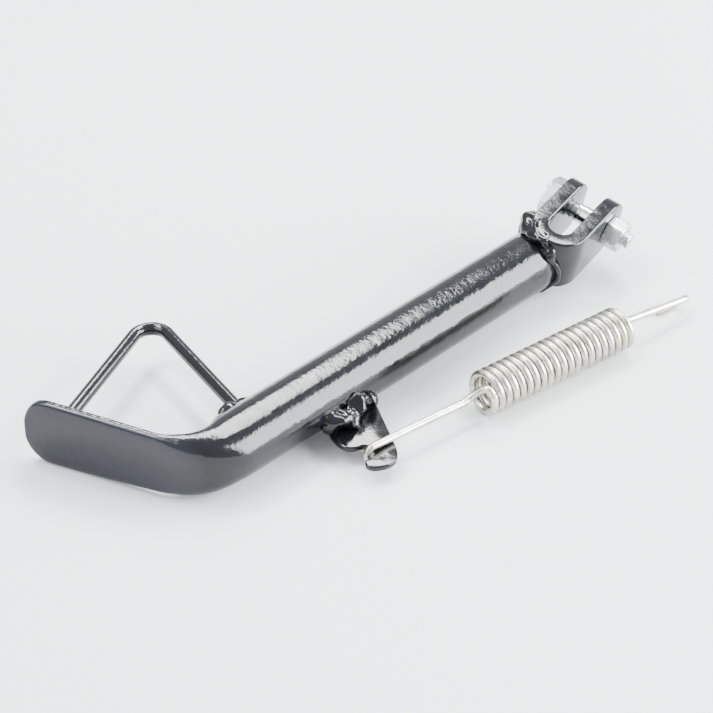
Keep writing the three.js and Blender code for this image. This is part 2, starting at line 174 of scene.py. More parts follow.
def loft(name, rings, material, closed=False):
    """A skin through rings of equally many points. It is capped, or its last ring joins its first."""
    count = len(rings[0])
    points = [p for ring in rings for p in ring]
    faces = []
    for i in range(len(rings) if closed else len(rings) - 1):
        here = i * count
        there = ((i + 1) % len(rings)) * count
        for j in range(count):
            k = (j + 1) % count
            faces.append((here + j, here + k, there + k, there + j))
    if not closed:
        last = (len(rings) - 1) * count
        faces.append(tuple(reversed(range(count))))
        faces.append(tuple(range(last, last + count)))
    return add_mesh(name, points, faces, material)


def carried_frames(path):
    """Two directions across a path at each point, carried along it without twist."""
    path = [np.asarray(p, float) for p in path]
    last = len(path) - 1
    tangents = [unit(path[min(i + 1, last)] - path[max(i - 1, 0)]) for i in range(len(path))]
    side = np.cross(tangents[0], UP)
    if np.linalg.norm(side) < 0.1:
        side = np.cross(tangents[0], np.array((0.0, 1.0, 0.0)))
    frames = []
    for tangent in tangents:
        side = unit(side - tangent * np.dot(side, tangent))
        frames.append((side, np.cross(tangent, side)))
    return path, frames


def wire(name, path, radius, material, sides=20, swell=None):
    """A round wire along a path. swell gives the share of the radius at each of its points."""
    path, frames = carried_frames(path)
    rings = []
    for i, (point, (side, other)) in enumerate(zip(path, frames)):
        r = radius * swell(i) if swell else radius
        ring = []
        for j in range(sides):
            angle = FULL_TURN * j / sides
            ring.append(point + (side * math.cos(angle) + other * math.sin(angle)) * r)
        rings.append(ring)
    return loft(name, rings, material)


def smooth_path(corners, steps):
    """A Catmull-Rom curve through the corners."""
    corners = [np.asarray(p, float) for p in corners]
    padded = [2 * corners[0] - corners[1]] + corners + [2 * corners[-1] - corners[-2]]
    out = []
    for i in range(1, len(padded) - 2):
        a, b, c, d = padded[i - 1:i + 3]
        for j in range(steps):
            t = j / steps
            slope = (c - a) * t
            square = (2 * a - 5 * b + 4 * c - d) * t * t
            cube = (3 * b - a - 3 * c + d) * t ** 3
            out.append(0.5 * (2 * b + slope + square + cube))
    out.append(corners[-1])
    return out


def settle(piece, body, slot, *nodes):
    """Puts a piece on its body and hides the CAD nodes it stands for; slot, the finish it shows, is not used.
    """
    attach(piece, body)
    for node in nodes:
        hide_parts(node)


# ---- materials ----
PAINT_TONE_SCALE = 60
PAINT_WEAR_SCALE = 220
PAINT_ROUGH_LOW = 0.09
PAINT_ROUGH_HIGH = 0.19
PAINT_GLOSS = 0.38
# Orange peel: noise scale, noise detail, share of the strength, depth in metres.
PEEL_LAYERS = ((240, 2, 1.0, 0.0008), (600, 2, 1.0, 0.0004), (1100, 3, 0.7, 0.00015))
TONE_FROM = 0.3
TONE_TO = 0.7
WEAR_FROM = 0.35
WEAR_TO = 0.75
COARSE_DETAIL = 3
FINE_DETAIL = 4
METAL_ROUGH_RATIO = 2.3
METAL_GRAIN_DEPTH = 0.0002


def new_material(name):
    material = bpy.data.materials.new(name)
    material.use_nodes = True
    nodes = material.node_tree.nodes
    place = nodes.new("ShaderNodeTexCoord").outputs["Object"]
    return material, nodes, material.node_tree.links, nodes["Principled BSDF"], place


def noise_at(nodes, links, place, scale, detail, roughness=0.55):
    texture = nodes.new("ShaderNodeTexNoise")
    texture.inputs["Scale"].default_value = scale
    texture.inputs["Detail"].default_value = detail
    texture.inputs["Roughness"].default_value = roughness
    links.new(place, texture.inputs["Vector"])
    return texture.outputs["Fac"]


def ramp(nodes, links, value, low, low_color, high, high_color):
    node = nodes.new("ShaderNodeValToRGB")
    links.new(value, node.inputs["Fac"])
    for element, position, color in zip(node.color_ramp.elements, (low, high), (low_color, high_color)):
        element.position = position
        element.color = (*color, 1)
    return node.outputs["Color"]


def grey(level):
    return (level, level, level)


def bumped(nodes, links, shader, layers):
    """Stacks bumps, each given as a height, a strength and a depth."""
    normal = None
    for height, strength, depth in layers:
        bump = nodes.new("ShaderNodeBump")
        bump.inputs["Strength"].default_value = strength
        bump.inputs["Distance"].default_value = depth
        links.new(height, bump.inputs["Height"])
        if normal is not None:
            links.new(normal, bump.inputs["Normal"])
        normal = bump.outputs["Normal"]
    links.new(normal, shader.inputs["Normal"])


def gloss_paint(name, peel, dark, light):
    """Glossy black enamel, uneven in tone and gloss, with orange peel."""
    material, nodes, links, shader, place = new_material(name)
    tone = noise_at(nodes, links, place, PAINT_TONE_SCALE, COARSE_DETAIL)
    links.new(ramp(nodes, links, tone, TONE_FROM, dark, TONE_TO, light), shader.inputs["Base Color"])
    wear = noise_at(nodes, links, place, PAINT_WEAR_SCALE, FINE_DETAIL)
    rough = ramp(nodes, links, wear, WEAR_FROM, grey(PAINT_ROUGH_LOW), WEAR_TO, grey(PAINT_ROUGH_HIGH))
    links.new(rough, shader.inputs["Roughness"])
    shader.inputs["Specular IOR Level"].default_value = PAINT_GLOSS
    layers = []
    for scale, detail, share, depth in PEEL_LAYERS:
        layers.append((noise_at(nodes, links, place, scale, detail), peel * share, depth))
    bumped(nodes, links, shader, layers)
    return material


def metal(name, dark, light, smoothest, roughest, scale, grain, strength):
    """Bare or plated metal: cloudy in tone and polish, with a fine grain."""
    material, nodes, links, shader, place = new_material(name)
    tone = noise_at(nodes, links, place, scale, FINE_DETAIL)
    links.new(ramp(nodes, links, tone, TONE_FROM, dark, TONE_TO, light), shader.inputs["Base Color"])
    polish = noise_at(nodes, links, place, scale * METAL_ROUGH_RATIO, COARSE_DETAIL)
    rough = ramp(nodes, links, polish, TONE_FROM, grey(smoothest), TONE_TO, grey(roughest))
    links.new(rough, shader.inputs["Roughness"])
    shader.inputs["Metallic"].default_value = 1.0
    roughened = noise_at(nodes, links, place, grain, FINE_DETAIL)
    bumped(nodes, links, shader, [(roughened, strength, METAL_GRAIN_DEPTH)])
    return material


def paint_sole_reflection(material, facing, level, fade_start, fade_end, color):
    """Paints the floor's reflection onto the plane of the sole as a lighter bluish grey, fading out where the
    surface curves away from it.
    """
    nodes = material.node_tree.nodes
    links = material.node_tree.links
    base = nodes["Principled BSDF"].inputs["Base Color"]
    along = nodes.new("ShaderNodeVectorMath")
    along.operation = "DOT_PRODUCT"
    along.inputs[1].default_value = facing
    links.new(nodes.new("ShaderNodeTexCoord").outputs["Object"], along.inputs[0])
    share = nodes.new("ShaderNodeMapRange")
    share.interpolation_type = "SMOOTHSTEP"
    share.inputs["From Min"].default_value = level - fade_start
    share.inputs["From Max"].default_value = level - fade_end
    links.new(along.outputs["Value"], share.inputs["Value"])
    blend = nodes.new("ShaderNodeMix")
    blend.data_type = "RGBA"
    links.new(share.outputs["Result"], blend.inputs["Factor"])
    links.new(base.links[0].from_socket, blend.inputs["A"])
    blend.inputs["B"].default_value = (*color, 1)
    links.new(blend.outputs["Result"], base)


PAINT_DARK = (0.0025, 0.0028, 0.0038)
PAINT_LIGHT = (0.0045, 0.005, 0.0065)
paint = gloss_paint("black_paint", peel=0.09, dark=PAINT_DARK, light=PAINT_LIGHT)
weld_paint = gloss_paint("weld_paint", peel=0.12, dark=(0.0015, 0.0018, 0.0026), light=(0.003, 0.0035, 0.005))
leg_paint = gloss_paint("leg_paint", peel=0.17, dark=PAINT_DARK, light=PAINT_LIGHT)
zinc = metal("zinc", dark=(0.44, 0.475, 0.475), light=(0.64, 0.67, 0.66), smoothest=0.24, roughest=0.42,
             scale=180, grain=700, strength=0.25)
bright_steel = metal("bright_steel", dark=(0.78, 0.8, 0.8), light=(0.9, 0.91, 0.9), smoothest=0.12,
                     roughest=0.24, scale=160, grain=900, strength=0.15)
spring_steel = metal("spring_wire", dark=(0.36, 0.335, 0.28), light=(0.67, 0.635, 0.56), smoothest=0.24,
                     roughest=0.4, scale=240, grain=1100, strength=0.35)

CAD_FINISH = {
    "pivot_bolt": zinc, "pivot_nut": zinc, "pivot_bush": bright_steel,
    "spring_near_hook": spring_steel, "spring_coil": spring_steel, "spring_far_hook": spring_steel,
}
for name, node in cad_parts.items():
    node.data.materials.clear()
    node.data.materials.append(CAD_FINISH.get(name, paint))

# ---- where the clevis stands ----
clevis_turn = Matrix.Rotation(CLEVIS_YAW, 4, "Z") @ Matrix.Rotation(CLEVIS_PITCH, 4, "Y")
clevis_turn = clevis_turn @ Matrix.Rotation(CLEVIS_ROLL, 4, "X")
clevis_axes = np.array(clevis_turn.to_3x3())
MEETING_GUESS_X = -35.0
MEETING_STEPS = 12


def in_clevis(point):
    return clevis_axes @ np.asarray(point, float)


def tube_meets_web(y, z):
    """Where the line along the tube through (y, z) reaches the back of the clevis."""
    x = MEETING_GUESS_X
    for _ in range(MEETING_STEPS):
        along, across, _height = clevis_axes.T @ np.array((x, y, z))
        x += WEB_CENTRE - math.sqrt(max(0.0, EAR_OUTSIDE ** 2 - across * across)) - along
    return x


# ---- leg tube and foot ----
TUBE_END = 41.0
TUBE_OVERLAP = 0.6
LEG_SIDES = 112
LEG_MIN_HALF = 0.5
STATION_GAP = 1.0
STRAIGHT_SECTIONS = 46
SQUASH_SECTIONS = 90
PLATE_SECTIONS = 50
TIP_SHARES = (0.1, 0.2, 0.3, 0.4, 0.5, 0.6, 0.68, 0.76, 0.83, 0.89, 0.93, 0.96, 0.98)
RIM_SHARES = (0.07, 0.2, 0.36, 0.55, 0.77, 1.0)
RIM_START = 0.22
RIM_LENGTH = 0.2
RIM_INSET = 0.8 * FOOT_HALF_THICK
# The sole's lighter bluish grey is a painted reflection of the floor, not a colour of the paint.
SOLE_FADE_START = 4.2 * MM
SOLE_FADE_END = 0.3 * MM
SOLE_REFLECTION_COLOR = (0.0095, 0.0115, 0.0155)

turn = math.pi - BEND_ANGLE
bend_tangent = BEND_R * math.tan(turn / 2)
bend_start = -BEND_X - bend_tangent
bend_end = bend_start + BEND_R * turn
leg_length = bend_end - bend_tangent + FOOT_LENGTH
foot_direction = np.array((math.cos(BEND_ANGLE), math.sin(BEND_ANGLE)))
foot_facing = np.array((-foot_direction[1], foot_direction[0]))
squash_start = bend_start - SQUASH_LEAD
squash_end = bend_end + SQUASH_TAIL


def leg_path(distance):
    """The leg's middle line and the direction its sole faces, at a distance from the bolt."""
    if distance < bend_start:
        return np.array((-distance, 0.0)), np.array((0.0, -1.0))
    if distance < bend_end:
        angle = (distance - bend_start) / BEND_R
        sole = np.array((-math.sin(angle), -math.cos(angle)))
        return np.array((-bend_start, BEND_R)) + sole * BEND_R, sole
    along = distance - bend_end + bend_tangent
    return np.array((BEND_X, 0.0)) + foot_direction * along, foot_facing


def tip_height(distance):
    """Half height left by the rounded end of the foot."""
    share = min(max(distance - (leg_length - TIP_LENGTH), 0.0) / TIP_LENGTH, 1.0)
    return TIP_HALF + (FOOT_HALF_HEIGHT - TIP_HALF) * (1 - share ** TIP_POWER) ** 0.5


def leg_ring(distance, shrink=0.0):
    centre, sole = leg_path(distance)
    flatness = smoothstep(distance, squash_start, squash_end)
    spread = smoothstep(distance, bend_start, leg_length - TIP_LENGTH)
    half_thick = mix(TUBE_R, FOOT_HALF_THICK, flatness) - shrink
    half_height = mix(TUBE_R, FOOT_HALF_HEIGHT, spread) * tip_height(distance) / FOOT_HALF_HEIGHT
    half_height = max(half_height - shrink, LEG_MIN_HALF)
    ring = []
    for j in range(LEG_SIDES):
        angle = FULL_TURN * j / LEG_SIDES
        cosine = math.cos(angle)
        sine = math.sin(angle)
        power = 2 / mix(2, SOLE_POWER if cosine > 0 else BACK_POWER, flatness)
        across = math.copysign(abs(cosine) ** power, cosine) * half_thick
        across += (TUBE_R - FOOT_HALF_THICK) * flatness
        height = math.copysign(abs(sine) ** power, sine) * half_height - FOOT_DROP * spread
        spot = centre + sole * across
        ring.append(np.array((spot[0], spot[1], TUBE_Z + height)))
    return ring


stations = list(np.linspace(TUBE_END, squash_start - STATION_GAP, STRAIGHT_SECTIONS))
stations += list(np.linspace(squash_start, squash_end, SQUASH_SECTIONS))
stations += list(np.linspace(squash_end + STATION_GAP / 2, leg_length - TIP_LENGTH, PLATE_SECTIONS))[1:]
stations += [leg_length - TIP_LENGTH * (1 - share) for share in TIP_SHARES]
rings = [leg_ring(distance) for distance in stations]
mouth = [np.array((tube_meets_web(y, z) + TUBE_OVERLAP, y, z)) for _x, y, z in rings[0]]
rings.insert(0, mouth)
for share in RIM_SHARES:
    rings.append(leg_ring(leg_length - RIM_START + RIM_LENGTH * share, shrink=RIM_INSET * round_drop(share)))

sole_level = (BEND_X * foot_facing[0] + TUBE_R) * MM
# Painted reflection of the floor on the flat of the sole.
paint_sole_reflection(leg_paint, (*foot_facing, 0.0), sole_level, SOLE_FADE_START, SOLE_FADE_END, SOLE_REFLECTION_COLOR)
leg = loft("leg_visual", rings, leg_paint)
settle(leg, "leg", "black_paint", "leg_tube")

# ---- clevis ----
STRIP_EDGE_R = 1.1
STRIP_EDGE_STEPS = 6
STRIP_EDGE_MOST = 0.98
STRIP_MIN_HALF = 0.4
NOSE_SECTIONS = 26
NOSE_LAST_SHARE = 0.9993
ARM_SECTIONS = 12
ARM_FRONT = -1.0
ARM_BACK = WEB_CENTRE + 0.5
BEND_SECTIONS = 49
HOLE_REACH = 30.0
CLEVIS_SHARP = math.radians(50)


def strip_section(half_thick, top, bottom, radius):
    """A rounded rectangle: offsets across the strip and along its height."""
    radius = min(radius, half_thick * STRIP_EDGE_MOST, (top + bottom) / 2 * STRIP_EDGE_MOST)
    corners = (
        (half_thick - radius, top - radius, 0),
        (radius - half_thick, top - radius, 90),
        (radius - half_thick, radius - bottom, 180),
        (half_thick - radius, radius - bottom, 270),
    )
    out = []
    for across, height, start in corners:
        for step in range(STRIP_EDGE_STEPS + 1):
            angle = math.radians(start + 90 * step / STRIP_EDGE_STEPS)
            out.append((across + radius * math.cos(angle), height + radius * math.sin(angle)))
    return out


def strip_ring(centre, normal, reach):
    """One section of the bent strip. reach is how far ahead of the bolt it lies, 0 or less behind it."""
    share = max(reach, 0.0) / STRIP_UP
    left = math.sqrt(1 - share * share)
    inset = STRIP_UP * (1 - share)
    pull = STRIP_EDGE_R * round_drop(max(0.0, 1 - inset / STRIP_EDGE_R))
    top = max(STRIP_UP * left, STRIP_MIN_HALF)
    bottom = max(STRIP_DOWN * left, STRIP_MIN_HALF)
    section = strip_section(EAR_THICK / 2 - pull, top, bottom, STRIP_EDGE_R)
    return [in_clevis((centre[0] + normal[0] * a, centre[1] + normal[1] * a, h)) for a, h in section]


reaches = [STRIP_UP * (1 - (1 - k / NOSE_SECTIONS) ** 2) for k in range(NOSE_SECTIONS)]
reaches.append(STRIP_UP * NOSE_LAST_SHARE)
rings = []
for reach in reversed(reaches):
    rings.append(strip_ring((reach, -EAR_MIDDLE), (0, -1), reach))
for back in np.linspace(ARM_FRONT, ARM_BACK, ARM_SECTIONS):
    rings.append(strip_ring((back, -EAR_MIDDLE), (0, -1), 0))
for angle in np.radians(np.linspace(-90, -270, BEND_SECTIONS)):
    normal = (math.cos(angle), math.sin(angle))
    rings.append(strip_ring((WEB_CENTRE + EAR_MIDDLE * normal[0], EAR_MIDDLE * normal[1]), normal, 0))
for back in np.linspace(ARM_BACK, ARM_FRONT, ARM_SECTIONS):
    rings.append(strip_ring((back, EAR_MIDDLE), (0, 1), 0))
for reach in reaches:
    rings.append(strip_ring((reach, EAR_MIDDLE), (0, 1), reach))
clevis = loft("clevis_visual", rings, paint)


def carve(piece, cutter):
    """Takes the cutter out of the piece's mesh, and removes the cutter."""
    change = piece.modifiers.new("carve", "BOOLEAN")
    change.operation = "DIFFERENCE"
    change.solver = "EXACT"
    change.object = cutter
    bpy.context.view_layer.update()
    shaped = bpy.data.meshes.new_from_object(piece.evaluated_get(bpy.context.evaluated_depsgraph_get()))
    piece.modifiers.clear()
    piece.data = shaped
    bpy.data.objects.remove(cutter)


def bolt_ring(radii, along, start=0.0):
    """A ring about the bolt's axis, at a place along it, with a radius for each of its points."""
    ring = []
    for j, radius in enumerate(radii):
        angle = start + FULL_TURN * j / len(radii)
        ring.append(in_clevis((radius * math.cos(angle), along, radius * math.sin(angle))))
    return ring


def turned(name, profile, material, sides=48, closed=False):
    """A turned piece about the bolt's axis. Its profile is (distance along it towards the head, radius)."""
    rings = [bolt_ring([radius] * sides, along) for along, radius in profile]
    return loft(name, rings, material, closed=closed)


carve(clevis, turned("bolt_hole", [(HOLE_REACH, BOLT_HOLE_R), (-HOLE_REACH, BOLT_HOLE_R)], paint))
for polygon in clevis.data.polygons:
    polygon.use_smooth = True
clevis.data.set_sharp_from_angle(angle=CLEVIS_SHARP)
settle(clevis, "leg", "black_paint", "clevis")

# ---- pivot hardware ----
HEX_SIDES = 96
HEX_CORNER = 0.985
HEX_SHARP = math.radians(32)
# Distance from the face or from the outer end, and the share of the corner radius left there.
HEX_FACE_LEVELS = ((0.0, 0.965), (0.35, 1.0))
HEX_END_LEVELS = ((1.5, 1.0), (0.9, 0.99), (0.45, 0.945), (0.0, 0.86))
# The dish in the bolt's head: share of the corner radius, depth.
DISH_LEVELS = ((0.8, 0.0), (0.7, 0.35))
NUT_BORE = BOLT_R + 0.1
BORE_MOUTH = 1.16
BORE_MOUTH_DEPTH = 0.5
# Along the thread from one crest: distance, depth.
THREAD_FORM = ((0.1, 0.0), (0.5, 0.55), (0.62, 0.55), (1.0, 0.0))
THREAD_PITCH = THREAD_FORM[-1][0]
THREAD_START = 1.0
THREAD_STOP = 0.9
SHANK_POINT = ((0.5, 0.1), (0.0, 0.65))
SHANK_SHARP = math.radians(30)
BUSH_SIDES = 64
BUSH_BORE = BOLT_R + 0.2
BUSH_CHAMFER = 0.3
# Before the bush's end: distance, depth. A groove and the end's chamfer.
BUSH_GROOVE = ((2.2, 0.0), (2.0, 0.35), (1.7, 0.35), (1.5, 0.0), (0.4, 0.0), (0.0, 0.4))
BUSH_SHARP = math.radians(35)


def hex_radius(angle, flats):
    corner = math.pi / 3
    return flats / 2 / math.cos((angle % corner) - corner / 2)


def hexagon(name, flats, face, end, turn_angle, material, bore=0.0):
    """A chamfered hexagon from the ear's face to its outer end: dished, or bored right through."""
    step = 1 if end > face else -1
    height = abs(end - face)
    corner = flats / math.sqrt(3)
    start = math.pi / 2 - turn_angle
    outline = [hex_radius(FULL_TURN * j / HEX_SIDES + math.pi / 6, flats) for j in range(HEX_SIDES)]
    levels = [(level, share) for level, share in HEX_FACE_LEVELS]
    levels += [(height - level, share) for level, share in HEX_END_LEVELS]
    rings = []
    for level, share in levels:
        radii = [min(radius, corner * HEX_CORNER, corner * share) for radius in outline]
        rings.append(bolt_ring(radii, face + step * level, start))
    if bore:
        inner = [(bore * BORE_MOUTH, end), (bore, end - step * BORE_MOUTH_DEPTH), (bore, face)]
    else:
        inner = [(corner * share, end - step * depth) for share, depth in DISH_LEVELS]
    for radius, along in inner:
        rings.append(bolt_ring([radius] * HEX_SIDES, along, start))
    piece = loft(name, rings, material, closed=bool(bore))
    piece.data.set_sharp_from_angle(angle=HEX_SHARP)
    return piece


nut_face = -(EAR_OUTSIDE + GAP)
nut_end = nut_face - NUT_HEIGHT
head_face = EAR_OUTSIDE + GAP
shank_end = nut_end - THREAD_PROUD

head = hexagon("bolt_head_visual", HEAD_FLATS, head_face, head_face + HEAD_HEIGHT, HEAD_TURN, zinc)
settle(head, "bolt", "zinc", "pivot_bolt")

along = nut_face + THREAD_START
profile = [(head_face + GAP, BOLT_R), (along, BOLT_R)]
while along > shank_end + THREAD_STOP:
    profile += [(along - distance, BOLT_R - depth) for distance, depth in THREAD_FORM]
    along -= THREAD_PITCH
profile += [(shank_end + distance, BOLT_R - depth) for distance, depth in SHANK_POINT]
shank = turned("bolt_shank_visual", profile, zinc)
shank.data.set_sharp_from_angle(angle=SHANK_SHARP)
settle(shank, "bolt", "zinc")

nut = hexagon("nut_visual", NUT_FLATS, nut_face, nut_end, NUT_TURN, zinc, bore=NUT_BORE)
settle(nut, "bolt", "zinc", "pivot_nut")

bush_start = GAP - EAR_GAP / 2
bush_end = bush_start + BUSH_LENGTH
profile = [(bush_start, BUSH_BORE), (bush_start, BUSH_R - BUSH_CHAMFER), (bush_start + BUSH_CHAMFER, BUSH_R)]
profile += [(bush_end - distance, BUSH_R - depth) for distance, depth in BUSH_GROOVE]
profile.append((bush_end, BUSH_BORE))
bush = turned("bush_visual", profile, bright_steel, sides=BUSH_SIDES, closed=True)
bush.data.set_sharp_from_angle(angle=BUSH_SHARP)
settle(bush, "bush", "bright_steel", "pivot_bush")

# ---- welds ----
BEAD_SIDES = 36
BEAD_BASE = 0.88
BEAD_SCALLOP = 0.1
BEAD_SCALLOP_PACE = 0.21
BEAD_SWELL = 0.5
BEAD_END_POWER = 5
BEAD_END_LEAST = 0.03
BEAD_LEAST = 0.3
BEAD_RIPPLES = (5, 0.1, 0.45)
# Lumps in space: pace per millimetre, share of the bead's own lumpiness.
BEAD_LUMPS = ((0.19, 1.9), (0.4, 0.3))
LUMP_SHIFT = 50
FLOOR_CLEARANCE = 0.1


def bead(name, path, radius, node, lump, squash_ends=True, weight=None):
    """A run of weld: a swelling rope of metal, with the scallops and lumps of a bead laid by hand."""
    along = ripples(*BEAD_RIPPLES)
    count = len(path)

    def swell(i):
        centred = abs(2 * i / (count - 1) - 1)
        ends = math.sqrt(max(0.0, 1 - centred ** BEAD_END_POWER)) if squash_ends else 1.0
        scallop = BEAD_SCALLOP * abs(math.sin(i * BEAD_SCALLOP_PACE))
        body = BEAD_BASE + scallop + lump * BEAD_SWELL * along(i)
        return max(BEAD_END_LEAST, ends) * body * (weight(i) if weight else 1.0)

    piece = wire(name, path, radius, weld_paint, sides=BEAD_SIDES, swell=swell)
    shift = Vector([chance.uniform(0, LUMP_SHIFT) for _ in range(3)])
    for index, vertex in enumerate(piece.data.vertices):
        middle = Vector(np.asarray(path[min(index // BEAD_SIDES, count - 1)], float) * MM)
        place = vertex.co / MM
        push = 1 + sum(lump * share * noise.noise(place * pace + shift) for pace, share in BEAD_LUMPS)
        vertex.co = middle + (vertex.co - middle) * max(push, BEAD_LEAST)
        vertex.co.z = max(vertex.co.z, (SURFACE_Z + FLOOR_CLEARANCE) * MM)
    settle(piece, "leg", "black_paint", node)


COLLAR_R = 4.0
TAB_WELD_R = 4.8
UNDER_WELD_R = 1.3
LEG_WELD_R = 5.1
FOOT_WELD_R = 4.3
COLLAR_STEPS = 150
COLLAR_BACK = 1.4
COLLAR_CLIMB = (3.4, 1.3)
COLLAR_CLIMB_FROM = 0.35
COLLAR_CLIMB_TO = 0.95
COLLAR_LEAST = 0.36
COLLAR_MOST = 1.2
COLLAR_HEAP_FROM = 0.3
COLLAR_HEAP_TO = 0.9
collar_angles = [FULL_TURN * k / COLLAR_STEPS for k in range(COLLAR_STEPS + 1)]


def heavier_on_top(index):
    """The collar is heaped where it was laid from above, and thin round the sides and below."""
    heap = smoothstep(math.sin(collar_angles[index]), COLLAR_HEAP_FROM, COLLAR_HEAP_TO)
    return mix(COLLAR_LEAST, COLLAR_MOST, heap)


collar = []
for angle in collar_angles:
    y = TUBE_R * math.cos(angle)
    z = TUBE_Z + TUBE_R * math.sin(angle)
    climb = smoothstep(math.sin(angle), COLLAR_CLIMB_FROM, COLLAR_CLIMB_TO)
    x = tube_meets_web(y, z) - COLLAR_BACK + COLLAR_CLIMB[0] * climb
    collar.append(np.array((x, y, z + COLLAR_CLIMB[1] * climb)))
bead("clevis_weld_visual", collar, COLLAR_R, "clevis_weld", lump=0.3, squash_ends=False, weight=heavier_on_top)

TAB_WELD_START_X = -179.5
TAB_WELD_END_X = -149.5
TAB_WELD_SECTIONS = 90
TAB_WELD_Y = -14.2
TAB_WELD_Z = -11.2
# The hand's waver across and up: reach, pace.
TAB_WAVER_Y = (0.9, 0.33)
TAB_WAVER_Z = (0.7, 0.5)
path = []
for x in np.linspace(TAB_WELD_START_X, TAB_WELD_END_X, TAB_WELD_SECTIONS):
    y = TAB_WELD_Y - TAB_WAVER_Y[0] * math.sin(x * TAB_WAVER_Y[1])
    z = TAB_WELD_Z + TAB_WAVER_Z[0] * math.sin(x * TAB_WAVER_Z[1])
    path.append((x, y, z))
bead("tab_weld_upper_visual", path, TAB_WELD_R, "tab_weld_upper", lump=0.34)

UNDER_WELD_START_X = -173.5
UNDER_WELD_END_X = -150.5
UNDER_WELD_SECTIONS = 60
UNDER_WELD_Y = -9.6
UNDER_WELD_Z = -19.2
path = []
for x in np.linspace(UNDER_WELD_START_X, UNDER_WELD_END_X, UNDER_WELD_SECTIONS):
    path.append((x, UNDER_WELD_Y, UNDER_WELD_Z))
bead("tab_weld_lower_visual", path, UNDER_WELD_R, "tab_weld_lower", lump=0.12)

# ---- kick loop ----
LOOP_ARM_SECTIONS = 24
LOOP_BEND_SECTIONS = 25
LOOP_SIDES = 40
LOOP_NEXT_TO_BEND = 0.01
LEG_WELD_SET = 1.6
LEG_WELD_FROM = -11.5
LEG_WELD_TO = 8.5
LEG_WELD_SECTIONS = 50
LEG_WELD_BOW = 0.02
LEG_WELD_WAVE = 0.2
FOOT_WELD_SET = 2.4
FOOT_WELD_HALF = 5.2
FOOT_WELD_SECTIONS = 40


def loop_point(angle, length):
    x = LOOP_APEX[0] + math.cos(angle) * length
    y = LOOP_APEX[1] + math.sin(angle) * length
    return np.array((x, y, TUBE_Z))


loop_spread = LOOP_LEG_ANGLE - LOOP_FOOT_ANGLE
loop_tangent = LOOP_BEND_R / math.tan(loop_spread / 2)
bend_centre = loop_point((LOOP_FOOT_ANGLE + LOOP_LEG_ANGLE) / 2, LOOP_BEND_R / math.sin(loop_spread / 2))
foot_arm = (loop_point(LOOP_FOOT_ANGLE, LOOP_FOOT_LENGTH), loop_point(LOOP_FOOT_ANGLE, loop_tangent))
leg_arm = (loop_point(LOOP_LEG_ANGLE, loop_tangent), loop_point(LOOP_LEG_ANGLE, LOOP_LEG_LENGTH))
path = [mix(*foot_arm, share) for share in np.linspace(0, 1 - LOOP_NEXT_TO_BEND, LOOP_ARM_SECTIONS)]
for share in np.linspace(0, 1, LOOP_BEND_SECTIONS):
    angle = LOOP_FOOT_ANGLE - math.pi / 2 - (math.pi - loop_spread) * share
    path.append(bend_centre + LOOP_BEND_R * np.array((math.cos(angle), math.sin(angle), 0)))
path += [mix(*leg_arm, share) for share in np.linspace(LOOP_NEXT_TO_BEND, 1, LOOP_ARM_SECTIONS)]
loop = wire("kick_loop_visual", path, ROD_R, paint, sides=LOOP_SIDES)
settle(loop, "leg", "black_paint", "kick_loop")

spot = loop_point(LOOP_LEG_ANGLE, LOOP_LEG_LENGTH - LEG_WELD_SET)
path = []
for dx in np.linspace(LEG_WELD_FROM, LEG_WELD_TO, LEG_WELD_SECTIONS):
    path.append(spot + np.array((dx, -LEG_WELD_BOW * dx * dx, LEG_WELD_WAVE * math.sin(dx))))
bead("loop_leg_weld_visual", path, LEG_WELD_R, "loop_leg_weld", lump=0.2)

spot = loop_point(LOOP_FOOT_ANGLE, LOOP_FOOT_LENGTH - FOOT_WELD_SET)
path = []
for dz in np.linspace(-FOOT_WELD_HALF, FOOT_WELD_HALF, FOOT_WELD_SECTIONS):
    path.append(spot + np.array((0, 0, dz)))
bead("loop_foot_weld_visual", path, FOOT_WELD_R, "loop_foot_weld", lump=0.1)

# ---- spring tab ----
# The outline, from the spring's seat. An edge is a straight run to (x, y), or a control point and an end.
TAB_START = (24.5, 24.5)
TAB_EDGES = (
    (24.3, 19.8), (10.5, -3.7), (7.7, -8.7, 3.5, -10.7), (-1.5, -11.7, -5.9, -7.7), (-8.5, -4.2, -5.1, -2.1),
    (-1, -1.9), (2.2, -1.5, 2.2, 1.7), (2.2, 5.1, -0.9, 5.7), (-5.3, 7.1, -5.1, 12), (-4.5, 17.8, -2.2, 21),
    (-2.2, 24.5),
)
TAB_EDGE_R = 0.7
TAB_EDGE_STEPS = 6
TAB_OUTLINE_STEPS = 10
TAB_SHARP = math.radians(50)

outline = [np.array(TAB_START)]
for edge in TAB_EDGES:
    start = outline[-1]
    end = np.array(edge[-2:], float)
    control = np.array(edge[:2], float) if len(edge) > 2 else None
    for share in np.linspace(0.1, 1, TAB_OUTLINE_STEPS):
        if control is None:
            outline.append(mix(start, end, share))
        else:
            outline.append(mix(mix(start, control, share), mix(control, end, share), share))
outline = np.array(outline)
spans = np.roll(outline, -1, 0) - np.roll(outline, 1, 0)
inward = np.stack((-spans[:, 1], spans[:, 0]), 1) / np.linalg.norm(spans, axis=1)[:, None]
following = np.roll(outline, -1, 0)
if np.sum(outline[:, 0] * following[:, 1] - following[:, 0] * outline[:, 1]) < 0:
    inward = -inward
rounding = [(TAB_EDGE_R * (1 - math.cos(a)), TAB_EDGE_R * (1 - math.sin(a)))
            for a in np.linspace(0, math.pi / 2, TAB_EDGE_STEPS)]
levels = [(inset, TAB_TOP_Z - TAB_THICK + drop) for inset, drop in reversed(rounding)]
levels += [(inset, TAB_TOP_Z - drop) for inset, drop in rounding]
rings = []
for inset, height in levels:
    flat = outline + inward * inset + SPRING_SEAT[:2]
    rings.append([np.array((x, y, height)) for x, y in flat])
tab = loft("spring_tab_visual", rings, paint)
tab.data.set_sharp_from_angle(angle=TAB_SHARP)
settle(tab, "leg", "black_paint", "spring_tab")

